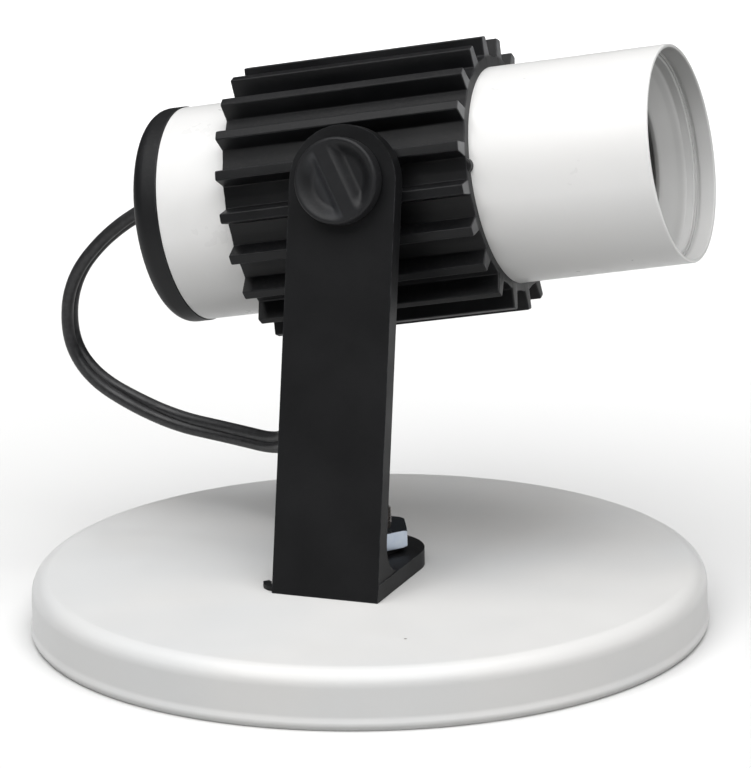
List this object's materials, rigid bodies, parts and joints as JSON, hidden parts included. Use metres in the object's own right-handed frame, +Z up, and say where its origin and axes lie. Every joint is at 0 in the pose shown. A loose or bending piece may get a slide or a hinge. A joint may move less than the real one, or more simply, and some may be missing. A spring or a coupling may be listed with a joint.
{
  "type": "projector spot lamp",
  "caption": "Spot lamp with a finned black sleeve round a white tube, tilting on a clamp knob at the top of a single side arm that turns on a round white base.",
  "frame": {"origin": "centre of the base's underside, on the surface it stands on", "axes": "+Z up, +X to the side the lamp's mouth faces at rest, -Y to the side of the arm and its clamp knob"},
  "size_m": [0.2037, 0.1892, 0.1597],
  "materials": {
    "white_paint": "satin white paint",
    "plate_steel": "plain rolled steel",
    "zinc_steel": "blue zinc plate",
    "black_rubber": "matt",
    "terminal_plastic": "matt",
    "terminal_brass": "plain",
    "black_moulding": "satin black with a fine moulded grain",
    "white_moulding": "semi-gloss white",
    "black_screw": "black passivated",
    "holder_ceramic": "glazed ceramic",
    "cord_sheath": "soft satin sheath"
  },
  "bodies": {
    "base": {"base_cover": "white_paint", "mounting_plate": "plate_steel", "plate_posts": "plate_steel", "plate_screws": "zinc_steel", "base_pad": "black_rubber", "inlet_grommet": "black_rubber", "terminal_block": "terminal_plastic", "terminal_screws": "terminal_brass", "nipple": "zinc_steel", "stiffener_washer": "zinc_steel", "lower_nut": "zinc_steel", "fibre_washer": "black_moulding", "lock_nut": "zinc_steel"},
    "bracket": {"arm_bracket": "black_moulding", "arm_washer": "zinc_steel"},
    "knob": {"clamp_knob": "black_moulding", "knob_stud": "zinc_steel"},
    "head": {"fin_sleeve": "black_moulding", "captive_nut": "zinc_steel", "friction_washer": "black_rubber", "housing_tube": "white_moulding", "rear_cap": "black_moulding", "cap_screws": "black_screw", "cord_gland": "black_rubber", "front_shade": "white_moulding", "reflector_insert": "white_moulding", "lamp_holder": "holder_ceramic", "holder_contacts": "terminal_brass", "holder_bracket": "plate_steel", "holder_screws": "zinc_steel", "lamp_cord": "cord_sheath"}
  },
  "joints": [
    {"name": "pan", "type": "hinge", "parent": "base", "child": "bracket", "pos_m": [0, 0, 0.0166], "axis": [0, 0, 1], "range_deg": [-175, 175]},
    {"name": "tilt", "type": "hinge", "parent": "bracket", "child": "head", "pos_m": [-0.00398, -0.00445, 0.12702], "axis": [0, -0.9673, 0.2538], "range_deg": [-60, 30], "deforming": ["lamp_cord"]},
    {"name": "knob_turn", "type": "hinge", "parent": "bracket", "child": "knob", "pos_m": [-0.00398, -0.00445, 0.12702], "axis": [0, -0.9673, 0.2538], "range_deg": [0, 180]}
  ]
}
